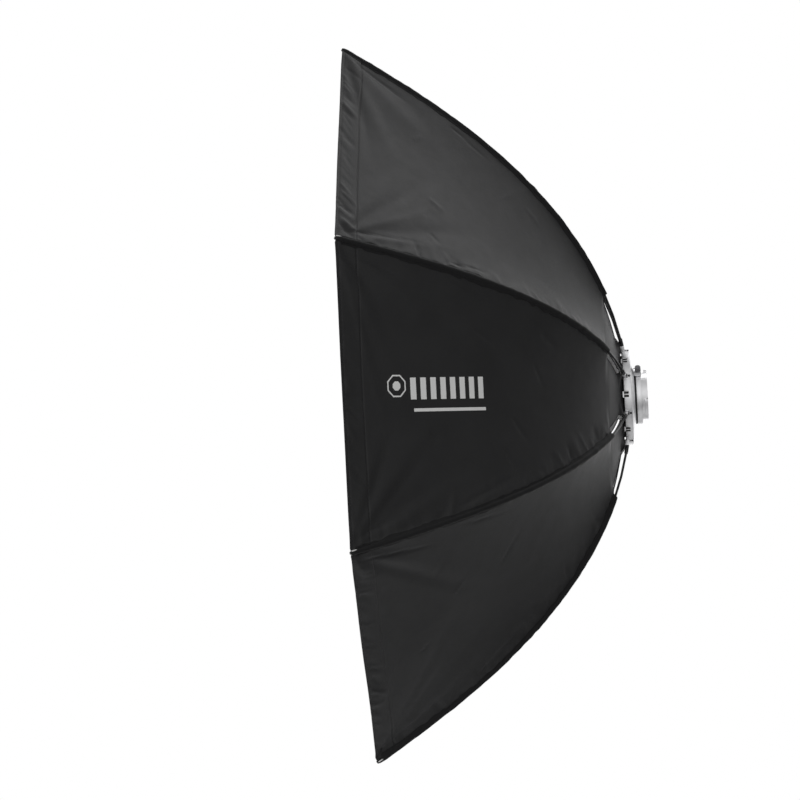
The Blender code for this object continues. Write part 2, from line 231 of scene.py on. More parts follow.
def canopy_surface(k, s, q):
    """Points of the cloth's middle surface on panel k, q across it from its centre line."""
    x, r, slope = rib_at(s)
    width = r * math.sin(HALF)
    u = np.clip(q / width, -1, 1)
    crown = 1 - np.abs(u) ** 2.3
    share = np.clip((s - PANEL_START) / (RIB_LENGTH - PANEL_START), 0, 1)
    lift = -PANEL_DIP * crown * np.sin(math.pi * share ** 0.8)
    beside = (width - np.abs(q)) * math.cos(HALF)
    free = smooth_step(0.0, 0.012, beside) * smooth_step(0.02, 0.12, s)
    lift = lift + free * FOLDS[k].height(s, q)
    hem_line = RIB_LENGTH - HEM
    lift = lift + 0.0006 * smooth_step(hem_line - 0.001, hem_line + 0.002, s)
    lift = lift - 0.0009 * np.exp(-(((s - hem_line) / 0.0017) ** 2))
    lift = lift - 0.0004 * np.exp(-(((s - RIB_LENGTH + BINDING) / 0.0010) ** 2))
    open_here = smooth_step(0.024, 0.040, s) * (1 - smooth_step(0.118, 0.140, s))
    lift = lift - EDGE_DROP * u * u * open_here
    push = FRONT_PUSH * np.sqrt(crown) * np.clip(1 - (s - PANEL_START) / PUSH_LENGTH, 0, 1)
    height = r * math.cos(HALF) + lift * np.cos(slope)
    return turned(x + lift * np.sin(slope) - push, height, q, rib_angle(k) + HALF)


def canopy_normals(k, s, q):
    """Outward normals, from the surface's own slopes, so that neighbouring pieces agree."""
    d = 0.0012
    along = canopy_surface(k, s + d, q) - canopy_surface(k, s - d, q)
    across = canopy_surface(k, s, q + d) - canopy_surface(k, s, q - d)
    n = np.cross(across, along)
    n /= np.linalg.norm(n, axis=-1, keepdims=True)
    return n * np.sign(n[..., :1] + 1e-9)


# ---------------------------------------------------------------- building meshes

def grid_normals(points):
    normal = np.cross(np.gradient(points, axis=1), np.gradient(points, axis=0))
    return normal / np.linalg.norm(normal, axis=-1, keepdims=True)


class Build:
    """Gathers the faces of one piece, with its normals, its cloth coordinates and its slots."""

    def __init__(self):
        self.points, self.faces, self.normals, self.coords, self.slots = [], [], [], [], []
        self.count = 0

    def add(self, points, faces, slot, normals=None, coords=None):
        points = np.asarray(points, float).reshape(-1, 3)
        flat = np.zeros((len(points), 3)) if normals is None else normals.reshape(-1, 3)
        uv = np.zeros((len(points), 2)) if coords is None else coords.reshape(-1, 2)
        for face in faces:
            self.faces.append([self.count + i for i in face])
            self.normals.extend(flat[i] for i in face)
            self.coords.extend(uv[i] for i in face)
            self.slots.append(slot)
        self.points.append(points)
        self.count += len(points)

    def piece(self, name, materials):
        mesh = bpy.data.meshes.new(name)
        mesh.from_pydata(np.concatenate(self.points).tolist(), [], self.faces)
        for made in materials:
            mesh.materials.append(made)
        mesh.polygons.foreach_set("material_index", np.array(self.slots, np.int32))
        mesh.polygons.foreach_set("use_smooth", np.full(len(self.faces), True))
        uv = mesh.uv_layers.new(name="Cloth")
        uv.data.foreach_set("uv", np.array(self.coords, np.float32).ravel())
        mesh.update()
        if np.any(self.normals):
            mesh.normals_split_custom_set([tuple(n) for n in self.normals])
        made = bpy.data.objects.new(name, mesh)
        bpy.context.scene.collection.objects.link(made)
        return made


def grid_faces(rows, columns, flip):
    faces = []
    for i in range(rows - 1):
        for j in range(columns - 1):
            a = i * columns + j
            face = (a, a + 1, a + columns + 1, a + columns)
            faces.append(face[::-1] if flip else face)
    return faces


def add_sheet(build, middle, normal, coords, thick, slots=(OUTSIDE, LINING)):
    """A closed sheet around a grid of middle points: outer skin, inner skin and its rim."""
    rows, columns = middle.shape[:2]
    outer, inner = middle + normal * thick / 2, middle - normal * thick / 2
    i, j = rows // 2, columns // 2
    across = outer[i, j] - outer[i, j - 1]
    along = outer[i, j] - outer[i - 1, j]
    flip = float(np.cross(across, along) @ normal[i, j]) < 0
    build.add(outer, grid_faces(rows, columns, flip), slots[0], normal, coords)
    build.add(inner, grid_faces(rows, columns, not flip), slots[1], -normal, coords)
    size = rows * columns
    edge = [i * columns for i in range(rows)]
    edge += [size - columns + j for j in range(1, columns)]
    edge += [i * columns + columns - 1 for i in range(rows - 2, -1, -1)]
    edge += [j for j in range(columns - 2, 0, -1)]
    rim = []
    for n, a in enumerate(edge):
        b = edge[(n + 1) % len(edge)]
        face = (a, b, b + size, a + size)
        rim.append(face if flip else face[::-1])
    points = np.concatenate([outer.reshape(-1, 3), inner.reshape(-1, 3)])
    uv = np.concatenate([coords.reshape(-1, 2)] * 2)
    build.add(points, rim, slots[0], coords=uv)


def add_stitches(build, line, normal, slot, width=0.0004):
    """Separate lens-shaped stitches along a line of points."""
    run = np.concatenate([[0], np.cumsum(np.linalg.norm(np.diff(line, axis=0), axis=1))])
    starts = np.arange(0.002, run[-1] - STITCH, STITCH + STITCH_GAP)
    for at in starts:
        a, b = (
            np.array([np.interp(v, run, line[:, c]) for c in range(3)]) for v in (at, at + STITCH)
        )
        up = np.array([np.interp(at, run, normal[:, c]) for c in range(3)])
        side = np.cross(b - a, up)
        side *= width / (np.linalg.norm(side) + 1e-12)
        middle = (a + b) / 2
        points = [a, middle + side, b, middle - side, middle + up * width, middle - up * width]
        ends = [(i, (i + 1) % 4) for i in range(4)]
        faces = [(i, j, 4) for i, j in ends] + [(j, i, 5) for i, j in ends]
        build.add(points, faces, slot)


def add_tube(build, line, radius, slot, sides):
    """A round tube along a line; radius may be one number or one for each point."""
    line = np.asarray(line, float)
    radius = np.broadcast_to(radius, len(line))
    tangent = np.gradient(line, axis=0)
    tangent /= np.linalg.norm(tangent, axis=1, keepdims=True)
    helper = np.array([0.0, 0.0, 1.0]) if abs(tangent[0, 2]) < 0.9 else np.array([1.0, 0.0, 0.0])
    side = np.cross(tangent, helper)
    side /= np.linalg.norm(side, axis=1, keepdims=True)
    up = np.cross(side, tangent)
    turn = 2 * np.pi * np.arange(sides) / sides
    ring = np.cos(turn)[None, :, None] * side[:, None] + np.sin(turn)[None, :, None] * up[:, None]
    points = line[:, None] + ring * radius[:, None, None]
    faces = []
    for i in range(len(line) - 1):
        for j in range(sides):
            a, b = i * sides + j, i * sides + (j + 1) % sides
            faces.append((a, b, b + sides, a + sides))
    faces.append(tuple(range(sides - 1, -1, -1)))
    faces.append(tuple(range((len(line) - 1) * sides, len(line) * sides)))
    build.add(points, faces, slot)


# ---------------------------------------------------------------- materials

def add_node(tree, kind, **settings):
    made = tree.nodes.new("ShaderNode" + kind)
    for name, value in settings.items():
        setattr(made, name, value)
    return made


def set_stops(made, stops):
    """Give a colour ramp its stops, each a place and a colour."""
    points = made.color_ramp.elements
    while len(points) < len(stops):
        points.new(0.5)
    for point, (place, colour) in zip(points, stops):
        point.position = place
        point.color = (*colour, 1.0)


class Shader:
    """A small helper to write a node material line by line."""

    def __init__(self, name):
        self.material = bpy.data.materials.new(name)
        self.material.use_nodes = True
        self.tree = self.material.node_tree
        self.out = self.tree.nodes["Material Output"]
        self.main = self.tree.nodes["Principled BSDF"]

    def node(self, kind, **settings):
        return add_node(self.tree, kind, **settings)

    def link(self, source, target):
        self.tree.links.new(source, target)

    def put(self, value, socket):
        """Link a node's output to a socket, or set the socket's own value."""
        if isinstance(value, bpy.types.NodeSocket):
            self.link(value, socket)
        elif socket.type == "RGBA":
            socket.default_value = (*value, 1.0)
        else:
            socket.default_value = value

    def feed(self, made, **inputs):
        for name, value in inputs.items():
            self.put(value, made.inputs[name])

    def math(self, operation, a, b=0.0, c=0.0):
        made = self.node("Math", operation=operation)
        for socket, value in zip(made.inputs, (a, b, c)):
            self.put(value, socket)
        return made.outputs[0]

    def split(self, vector):
        made = self.node("SeparateXYZ")
        self.link(vector, made.inputs[0])
        return made.outputs

    def noise(self, coords, scale, detail=4.0):
        made = self.node("TexNoise")
        self.feed(made, Vector=coords, Scale=scale, Detail=detail, Roughness=0.55)
        return made.outputs["Fac"]

    def ramp(self, value, stops):
        made = self.node("ValToRGB")
        self.link(value, made.inputs["Fac"])
        set_stops(made, stops)
        return made.outputs["Color"]

    def mix(self, share, a, b):
        made = self.node("Mix", data_type="RGBA")
        for index, value in ((0, share), (6, a), (7, b)):
            self.put(value, made.inputs[index])
        return made.outputs[2]

    def bump(self, height, distance, strength=1.0, after=None):
        made = self.node("Bump")
        made.inputs["Distance"].default_value = distance
        made.inputs["Strength"].default_value = strength
        self.link(height, made.inputs["Height"])
        if after is not None:
            self.link(after, made.inputs["Normal"])
        return made.outputs["Normal"]

    def set(self, **inputs):
        for name, value in inputs.items():
            self.put(value, self.main.inputs[name.replace("_", " ")])

    def object_coords(self):
        return self.node("TexCoord").outputs["Object"]

    def cloth_coords(self):
        return self.node("UVMap", uv_map="Cloth").outputs["UV"]


def weave(shader, coords, pitch):
    """Height of a plain weave: two sets of threads that pass over and under in turn."""
    warp, weft = (
        shader.math("SINE", shader.math("MULTIPLY", axis, 2 * math.pi / pitch))
        for axis in shader.split(coords)[:2]
    )
    return shader.math("MULTIPLY_ADD", warp, shader.math("MULTIPLY", weft, 0.5), 0.5)


def printed_mark(shader, coords):
    """A plain generic print: an octagon with a dot, a bar for each rib and a line below them."""
    s, q = shader.split(coords)[:2]

    def between(value, low, high):
        above = shader.math("GREATER_THAN", value, low)
        return shader.math("MULTIPLY", above, shader.math("LESS_THAN", value, high))

    def box(s0, s1, q0, q1):
        return shader.math("MULTIPLY", between(s, s0, s1), between(q, q0, q1))

    def octagon(s0, q0, size):
        a = shader.math("ABSOLUTE", shader.math("SUBTRACT", s, s0))
        b = shader.math("ABSOLUTE", shader.math("SUBTRACT", q, q0))
        slant = shader.math("MULTIPLY", shader.math("ADD", a, b), math.sqrt(0.5))
        far = shader.math("MAXIMUM", shader.math("MAXIMUM", a, b), slant)
        return shader.math("LESS_THAN", far, size)

    place = (0.7460, -0.0150)
    shapes = [octagon(*place, 0.0085)]
    for i in range(RIBS):
        far = 0.7150 - 0.0231 * i
        shapes.append(box(far - 0.0130, far, -0.0300, 0.0105))
    shapes.append(box(0.5360, 0.7090, 0.0270, 0.0330))
    total = shader.math("SUBTRACT", octagon(*place, 0.0205), octagon(*place, 0.0178))
    for shape in shapes:
        total = shader.math("MAXIMUM", total, shape)
    return total


def canopy_cloth(marked=False):
    """Black coated polyester: a fine weave, a soft sheen and faint wear."""
    shader = Shader("canopy_cloth_printed" if marked else "canopy_cloth")
    coords = shader.cloth_coords()
    blotch = shader.noise(coords, 9.0, 5.0)
    dust = shader.noise(coords, 160.0, 2.0)
    colour = shader.ramp(blotch, [(0.30, (0.0150, 0.0150, 0.0155)), (0.72, (0.0215, 0.0215, 0.0222))])
    colour = shader.mix(shader.math("MULTIPLY", dust, 0.12), colour, (0.040, 0.040, 0.041))
    if marked:
        wear = shader.math("GREATER_THAN", shader.noise(coords, 900.0, 3.0), 0.34)
        worn = shader.math("MULTIPLY_ADD", wear, 0.06, 0.92)
        ink = shader.math("MULTIPLY", printed_mark(shader, coords), worn)
        colour = shader.mix(ink, colour, (0.92, 0.92, 0.91))
    rough = shader.math("MULTIPLY_ADD", shader.noise(coords, 30.0, 3.0), 0.10, 0.50)
    fine = shader.bump(weave(shader, coords, 0.0011), 0.00010, 0.55)
    soft = shader.bump(shader.noise(coords, 26.0, 3.0), 0.0010, 0.5, fine)
    shader.set(Base_Color=colour, Roughness=rough, Normal=soft)
    shader.set(Sheen_Weight=0.10, Sheen_Roughness=0.45, Sheen_Tint=(0.8, 0.8, 0.82))
    shader.set(Specular_IOR_Level=0.36)
    return shader.material


def silver_lining():
    """The pebbled silver coating inside the canopy."""
    shader = Shader("silver_lining")
    coords = shader.cloth_coords()
    cells = shader.node("TexVoronoi", feature="F1")
    shader.feed(cells, Vector=coords, Scale=420.0)
    crumple = shader.noise(coords, 24.0, 4.0)
    normal = shader.bump(cells.outputs["Distance"], 0.0004, 0.5)
    normal = shader.bump(crumple, 0.0020, 0.4, normal)
    colour = shader.ramp(crumple, [(0.3, (0.62, 0.62, 0.63)), (0.7, (0.74, 0.74, 0.75))])
    shader.set(Base_Color=colour, Metallic=0.85, Roughness=0.42, Normal=normal)
    return shader.material


def thread(name, colour):
    shader = Shader(name)
    twist = shader.node("TexWave", wave_type="BANDS", bands_direction="DIAGONAL")
    shader.feed(twist, Vector=shader.object_coords(), Scale=900.0)
    shade = shader.mix(twist.outputs["Fac"], tuple(0.7 * c for c in colour), colour)
    shader.set(Base_Color=shade, Roughness=0.55, Sheen_Weight=0.2)
    return shader.material


def webbing():
    """The black woven tape of the rib sleeves and bindings."""
    shader = Shader("black_webbing")
    coords = shader.object_coords()
    ribs = shader.node("TexWave", wave_type="BANDS", bands_direction="X")
    shader.feed(ribs, Vector=coords, Scale=150.0, Distortion=1.5)
    fuzz = shader.noise(coords, 1800.0, 2.0)
    colour = shader.ramp(fuzz, [(0.3, (0.0070, 0.0070, 0.0074)), (0.7, (0.0125, 0.0125, 0.0130))])
    normal = shader.bump(ribs.outputs["Fac"], 0.0004, 0.5)
    normal = shader.bump(fuzz, 0.0002, 0.4, normal)
    shader.set(Base_Color=colour, Roughness=0.72, Normal=normal, Specular_IOR_Level=0.25)
    shader.set(Sheen_Weight=0.06, Sheen_Roughness=0.5)
    return shader.material


def diffuser_cloth():
    """White translucent nylon with a fine ripstop grid."""
    shader = Shader("diffuser_cloth")
    coords = shader.cloth_coords()
    lines = []
    for axis in shader.split(coords)[:2]:
        wave = shader.math("FRACT", shader.math("DIVIDE", axis, 0.006))
        lines.append(shader.math("LESS_THAN", wave, 0.09))
    grid = shader.math("MAXIMUM", *lines)
    shade = shader.ramp(shader.noise(coords, 7.0), [(0.3, (0.845, 0.845, 0.835)), (0.7, (0.87, 0.87, 0.865))])
    colour = shader.mix(shader.math("MULTIPLY", grid, 0.22), shade, (0.68, 0.68, 0.67))
    normal = shader.bump(weave(shader, coords, 0.0009), 0.0001, 0.5)
    normal = shader.bump(grid, 0.0001, 0.5, normal)
    shader.set(Base_Color=colour, Roughness=0.62, Normal=normal, Sheen_Weight=0.15)
    through = shader.node("BsdfTranslucent")
    shader.link(colour, through.inputs["Color"])
    both = shader.node("MixShader")
    both.inputs[0].default_value = 0.45
    shader.link(shader.main.outputs[0], both.inputs[1])
    shader.link(through.outputs[0], both.inputs[2])
    shader.link(both.outputs[0], shader.out.inputs["Surface"])
    return shader.material


def cast_aluminium():
    """Bead blasted silver casting with small pits and brighter rubbed spots."""
    shader = Shader("cast_aluminium")
    coords = shader.object_coords()
    pits = shader.noise(coords, 2400.0, 3.0)
    blotch = shader.noise(coords, 70.0, 4.0)
    colour = shader.ramp(blotch, [(0.3, (0.74, 0.74, 0.75)), (0.7, (0.90, 0.90, 0.91))])
    rough = shader.math("MULTIPLY_ADD", blotch, 0.22, 0.26)
    normal = shader.bump(pits, 0.00012, 0.6)
    shader.set(Base_Color=colour, Metallic=0.92, Roughness=rough, Normal=normal)
    return shader.material


def recess_painted_shade():
    """The casting's recesses: rough and dull, with a dark mottled colour that is painted shade."""
    shader = Shader("cast_recess_painted_shade")
    coords = shader.object_coords()
    shade_mottle = shader.noise(coords, 260.0, 4.0)
    # Painted shade: the recess walls are coloured near black, mottled by noise, to stand in for the shade in
    # them.
    colour = shader.ramp(shade_mottle, [(0.3, (0.060, 0.058, 0.056)), (0.7, (0.150, 0.148, 0.145))])
    normal = shader.bump(shader.noise(coords, 1800.0, 3.0), 0.00015, 0.6)
    shader.set(Base_Color=colour, Metallic=0.55, Roughness=0.62, Normal=normal)
    return shader.material


def machined_aluminium():
    """Turned aluminium: fine rings around the axis under a satin finish."""
    shader = Shader("machined_aluminium")
    coords = shader.object_coords()
    rings = shader.node("TexWave", wave_type="RINGS", rings_direction="X")
    shader.feed(rings, Vector=coords, Scale=420.0, Distortion=0.4, Detail=2.0)
    length = shader.node("TexWave", wave_type="BANDS", bands_direction="X")
    shader.feed(length, Vector=coords, Scale=420.0, Distortion=0.2)
    both = shader.math("MULTIPLY", rings.outputs["Fac"], length.outputs["Fac"])
    blotch = shader.noise(coords, 40.0, 3.0)
    colour = shader.ramp(blotch, [(0.3, (0.88, 0.88, 0.89)), (0.7, (0.95, 0.95, 0.96))])
    rough = shader.math("MULTIPLY_ADD", blotch, 0.12, 0.26)
    shader.set(Base_Color=colour, Metallic=0.85, Roughness=rough, Normal=shader.bump(both, 0.00006, 0.5))
    return shader.material


def pin_steel():
    shader = Shader("pin_steel")
    coords = shader.object_coords()
    scratch = shader.noise(coords, 1500.0, 2.0)
    colour = shader.ramp(scratch, [(0.35, (0.42, 0.42, 0.44)), (0.65, (0.60, 0.60, 0.62))])
    shader.set(Base_Color=colour, Metallic=1.0, Roughness=0.30, Normal=shader.bump(scratch, 0.00005, 0.4))
    return shader.material


def black_rod():
    """Coated fibre rod, satin black, with faint drawing lines."""
    shader = Shader("black_rod")
    coords = shader.object_coords()
    grain = shader.noise(coords, 700.0, 3.0)
    colour = shader.ramp(grain, [(0.3, (0.010, 0.010, 0.011)), (0.7, (0.022, 0.022, 0.023))])
    rough = shader.math("MULTIPLY_ADD", grain, 0.2, 0.28)
    shader.set(Base_Color=colour, Metallic=0.1, Roughness=rough, Normal=shader.bump(grain, 0.0001, 0.3))
    return shader.material


def moulded_plastic(name, dark, light):
    """Moulded plastic with a fine spark-eroded grain."""
    shader = Shader(name)
    coords = shader.object_coords()
    grain = shader.noise(coords, 3000.0, 2.0)
    shade = shader.noise(coords, 120.0, 3.0)
    colour = shader.ramp(shade, [(0.3, dark), (0.7, light)])
    rough = shader.math("MULTIPLY_ADD", shade, 0.15, 0.42)
    shader.set(Base_Color=colour, Roughness=rough, Normal=shader.bump(grain, 0.0001, 0.5))
    return shader.material


# ---------------------------------------------------------------- canopy pieces

def canopy_rows():
    """Stations along the rib: even steps, and closer ones at the slot's ends and the hem."""
    rows = list(np.arange(PANEL_START, RIB_LENGTH - 0.0005, GRID)) + [RIB_LENGTH - 0.0003]
    for end in SLOT:
        rows += [end - 0.002, end, end + 0.002, end + 0.004, end - 0.004]
    hem_line = RIB_LENGTH - HEM
    rows += [hem_line + d for d in (-0.004, -0.002, -0.001, 0.0, 0.001, 0.002, 0.004)]
    rows += [RIB_LENGTH - BINDING + d for d in (-0.0016, -0.0008, 0.0, 0.0008, 0.0016)]
    rows = np.unique(np.round(rows, 5))
    keep = np.concatenate([[True], np.diff(rows) > 0.0006])
    return rows[keep]


def band_half(s):
    """Half the width of a rib's band: in the folded state it nearly meets its neighbour."""
    x, r, _ = rib_at(s)
    folded = HINGE_R + (r - HINGE_R) * math.cos(FOLD) + (x - HINGE_X) * math.sin(FOLD)
    lean = math.tan(HALF)
    room = lean * ((1 + SPARE) * folded - SPARE * r) - BAND_GAP
    return room / (1 + lean * lean * ((1 + SPARE) * math.cos(FOLD) - SPARE))


def cloth_edge(s):
    """The cloth's edge beside the rib: close to it, and further off along the open slot."""
    a, b = SLOT
    open_here = smooth_step(a - 0.003, a + 0.004, s) * (1 - smooth_step(b - 0.004, b + 0.003, s))
    return EDGE + (SLOT_EDGE - EDGE) * open_here


ROWS = canopy_rows()
STITCHED = [int(np.argmin(np.abs(ROWS - (RIB_LENGTH - depth)))) for depth in (HEM, BINDING)]
BAND_COLUMNS = np.array([0, 0.06, 0.12, 0.19, 0.27, 0.35, 0.43, 0.52, 0.61, 0.70, 0.80, 0.90, 1.0])


def side_grid(k, side, shares, near, far):
    """Points, normals and cloth coordinates on panel k between two distances from one rib.

    side is -1 at the rib where the panel starts, and 1 at the rib where it ends.
    """
    s = np.repeat(ROWS[:, None], len(shares), 1)
    beside = near(ROWS)[:, None] + (far(ROWS) - near(ROWS))[:, None] * shares[None]
    q = side * (half_width(s) - beside / math.cos(HALF))
    points = canopy_surface(k, s, q)
    return points, canopy_normals(k, s, q), np.stack([s, q], -1)


def reach(rows):
    return half_width(rows) * math.cos(HALF)


def add_tongue(build, k):
    """The band's tongue in front of the rib's holder, which closes the canopy on the hub."""
    share = np.linspace(0, 1, 6)[:, None]
    t = np.linspace(-0.0088, 0.0088, 7)[None]
    x = -0.0401 - 0.0023 * share + 0.0004 * (t / 0.0088) ** 2
    r = 0.0830 + 0.0245 * share
    t = t * (0.86 + 0.14 * share)
    points = turned(x, r, t, rib_angle(k))
    normal = np.broadcast_to([1.0, 0.0, 0.0], points.shape)
    coords = np.stack(np.broadcast_arrays(r - RIB_START_R, t), -1)
    add_sheet(build, points, normal, coords, CLOTH)
    return grid_area(points)


def band_piece(k, looks):
    """The canopy's band along rib k: cloth on both sides, seams, bound slot edges and hem."""
    build = Build()
    area = 0.0
    for panel, side in (((k - 1) % RIBS, 1), (k, -1)):
        points, normals, coords = side_grid(panel, side, BAND_COLUMNS, cloth_edge, band_half)
        add_sheet(build, points, normals, coords, CLOTH)
        area += grid_area(points)
        outer = points + normals * (CLOTH / 2 + PROUD)
        for row in STITCHED:
            add_stitches(build, outer[row, 3:], normals[row, 3:], THREAD)
        slot_rows = (ROWS > SLOT[0] - 0.004) & (ROWS < SLOT[1] + 0.006)
        add_tube(build, points[slot_rows, 0], 0.0011, TAPE, 6)
        add_tube(build, points[-1, 1:], 0.0008, OUTSIDE, 6)
        add_tube(build, points[0], 0.0010, TAPE, 6)
    area += add_tongue(build, k)
    piece = build.piece(f"canopy_band_{k + 1}", looks)
    return piece, area


def gore_piece(k, side, looks, letter):
    """The half of panel k between one rib's band and the panel's centre line."""
    shares = np.linspace(0, 1, int(round(gore_width() / GRID)) + 1)
    build = Build()
    points, normals, coords = side_grid(k, side, shares, band_half, reach)
    add_sheet(build, points, normals, coords, CLOTH)
    outer = points + normals * (CLOTH / 2 + PROUD)
    for row in STITCHED:
        add_stitches(build, outer[row], normals[row], THREAD)
    add_tube(build, points[-1], 0.0008, OUTSIDE, 6)
    return build.piece(f"canopy_gore_{k + 1}{letter}", looks), grid_area(points)


def gore_width():
    """A gore's width at the front edge."""
    return float(reach(RIB_LENGTH) - band_half(RIB_LENGTH))


def grid_area(points):
    a = points[1:, :-1] - points[:-1, :-1]
    b = points[:-1, 1:] - points[:-1, :-1]
    c = points[1:, :-1] - points[1:, 1:]
    d = points[:-1, 1:] - points[1:, 1:]
    whole = np.linalg.norm(np.cross(a, b), axis=-1) + np.linalg.norm(np.cross(c, d), axis=-1)
    return float(whole.sum() / 2)


def tangent(k):
    return (0.0, -math.sin(rib_angle(k)), math.cos(rib_angle(k)))


def make_canopy(looks, printed):
    """All bands and gores, riding their ribs."""
    totals = []
    for k in range(RIBS):
        band, area = band_piece(k, looks)
        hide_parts(f"canopy_panel_{k + 1}")
        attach(band, f"rib_{k + 1}")
        totals.append(area)
        marked = k == RIBS // 2 - 1
        for side, letter, rib in ((-1, "a", k), (1, "b", (k + 1) % RIBS)):
            used = [printed if marked else looks[0], *looks[1:]]
            gore, area = gore_piece(k, side, used, letter)
            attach(gore, f"rib_{rib + 1}")
            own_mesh(gore)
            totals.append(area)
    return totals


def beside_rib(k, side, s, beside, rise):
    """Points a little above the cloth at a distance from rib k, on one side of it."""
    panel = k if side > 0 else (k - 1) % RIBS
    q = -side * (half_width(s) - beside / math.cos(HALF))
    return canopy_surface(panel, s, q) + canopy_normals(panel, s, q) * rise[:, None]


def sleeve_piece(k, looks):
    """The sewn sleeve over one rib: a puckered channel with a narrow sewn edge on each side."""
    draw = np.random.default_rng(90 + k)
    s = np.arange(SLOT[1] + 0.002, RIB_LENGTH - 0.010, 0.0035)
    knots = np.arange(0, 1, 0.011)
    swell = np.interp(s, knots, draw.normal(0, 1, len(knots)))
    edges = [np.interp(s, knots, draw.normal(0, 1, len(knots))) for _ in range(2)]
    x, r, slope = rib_at(s)
    a = rib_angle(k)
    out = np.stack([np.sin(slope), np.cos(slope) * math.cos(a), np.cos(slope) * math.sin(a)], -1)
    across = np.array(tangent(k))
    centre = turned(x, r, 0.0, a)
    radius = 0.0050 * (1 + 0.07 * np.clip(swell, -2, 2))

    def sewn_edge(side):
        reach_out = 0.0090 + 0.0014 * np.clip(edges[side > 0], -1.8, 1.8)
        low = beside_rib(k, side, s, reach_out, np.full_like(s, 0.0007))
        high = beside_rib(k, side, s, reach_out - 0.0022, 0.0011 + 0.0003 * np.abs(swell))
        return [low, high]

    columns = sewn_edge(-1)
    for turn in np.radians([190, 165, 140, 115, 90, 65, 40, 15, -10]):
        columns.append(centre + radius[:, None] * (math.cos(turn) * across + math.sin(turn) * out))
    columns += sewn_edge(1)[::-1]
    points = np.stack(columns, 1)
    normal = grid_normals(points)
    normal *= np.sign((normal * out[:, None]).sum(-1).mean())
    width = np.linspace(-0.016, 0.016, points.shape[1])
    coords = np.stack(np.meshgrid(s, width, indexing="ij"), -1)
    build = Build()
    add_sheet(build, points, normal, coords, 0.0007, (TAPE, TAPE))
    return build.piece(f"rib_sleeve_{k + 1}", looks), grid_area(points)


def tip_pieces(k, looks):
    """The black pocket that holds the rod at the corner, and the pale end cap that pokes out of its side; the
    cap's pale sliver is partly the cap and partly a painted highlight for a glint at the corner.
    """
    a = rib_angle(k)
    turn = np.array(Matrix.Rotation(a, 3, "X"))

    def line(start, end, count, out=0.0, side=0.0):
        s = np.linspace(start, end, count)
        x, r, slope = rib_at(np.clip(s, 0, RIB_LENGTH))
        beyond = np.clip(s - RIB_LENGTH, 0, None)
        x = x - beyond * math.cos(TIP_SLOPE) + out * np.sin(slope)
        r = r + beyond * math.sin(TIP_SLOPE) + out * np.cos(slope)
        return np.stack([x, r, np.full_like(x, side)], -1) @ turn.T

    # Pale end cap set off the rod's axis so that a sliver shows beside the pocket: a cap, and also a painted
    # highlight standing in for the glint at the corner.
    cap = Build()
    add_tube(cap, line(RIB_LENGTH - 0.0135, RIB_LENGTH - 0.0025, 5, 0.0022, -0.0042),
             np.array([0.0007, 0.0013, 0.0015, 0.0013, 0.0007]), 0, 10)
    cap_piece = cap.piece(f"rib_tip_cap_{k + 1}", [looks["cap"]])
    pocket = Build()
    radii = np.array([0.0046, 0.0053, 0.0054, 0.0051, 0.0044, 0.0030])
    add_tube(pocket, line(RIB_LENGTH - 0.020, RIB_LENGTH - 0.0006, 6), radii, 0, 14)
    pocket_piece = pocket.piece(f"corner_pocket_{k + 1}", [looks["webbing"]])
    return cap_piece, pocket_piece


def skirt_piece(looks):
    """The cloth between the hub's collar and the canopy, before the ring, cut out at the ribs."""
    build = Build()
    area = 0.0
    steps = np.linspace(0, 1, 15)
    inner_x, inner_r = -0.0393, 0.0815
    cut = math.asin(0.0075 / inner_r)
    for k in range(RIBS):
        turn = rib_angle(k) + cut + (STEP - 2 * cut) * steps
        inner = np.stack([
            np.full_like(turn, inner_x), inner_r * np.cos(turn), inner_r * np.sin(turn),
        ], -1)
        s = np.full_like(steps, PANEL_START + 0.001)
        q = (2 * steps - 1) * (half_width(s) - 0.0052 / math.cos(HALF))
        outer = canopy_surface(k, s, q)
        points = np.stack([inner + (outer - inner) * share for share in np.linspace(0, 1, 5)])
        normal = grid_normals(points)
        normal *= np.sign(normal[..., :1])
        add_sheet(build, points, normal, points[..., 1:], 0.0006)
        area += grid_area(points)
    return build.piece("hub_skirt", looks), area


def make_ribs(looks):
    """Sleeves, tip caps and corner pockets."""
    cloth = looks["cloth_slots"]
    totals = []
    for k in range(RIBS):
        sleeve, area = sleeve_piece(k, cloth)
        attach(sleeve, f"rib_{k + 1}")
        totals.append(area)
        for piece, kind in zip(tip_pieces(k, looks), ("grey_plastic", "canopy_cloth")):
            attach(piece, f"rib_{k + 1}")
    skirt, area = skirt_piece(cloth)
    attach(skirt, "ring")
    totals.append(area)
    return totals


# ---------------------------------------------------------------- diffuser

def sector_surface(k, along, across, corner):
    """Points of the diffuser on rib k's sector: along the rib's radius and across it."""
    flat = corner * math.cos(HALF)
    inside = np.clip(1 - np.hypot(along, across) / corner, 0, 1)
    billow = 0.012 * smooth_step(0, 1, inside)
    draw = np.random.default_rng(140 + k)
    ripple = np.zeros_like(along)
    for _ in range(9):
        lean, size = draw.uniform(-0.9, 0.9), draw.uniform(0.0010, 0.0028)
        line = across - (along - corner) * math.tan(lean) * 0.5
        spread = draw.uniform(0.008, 0.016) * (1 + 2 * np.clip((corner - along) / corner, 0, 1))
        ripple += size * np.exp(-((line / spread) ** 2)) * smooth_step(0.15, 0.9, along / corner)
    from_hem = flat - np.abs(along * math.cos(HALF) + np.abs(across) * math.sin(HALF))
    from_seam = along * math.sin(HALF) - np.abs(across) * math.cos(HALF)
    fade = smooth_step(0.0, 0.05, from_hem) * smooth_step(0.0, 0.035, from_seam)
    seam = np.exp(-(((np.abs(across) - along * math.tan(HALF)) / 0.004) ** 2)) * 0.0008
    return turned(DIFFUSER_X + billow - ripple * fade + seam, along, across, rib_angle(k))


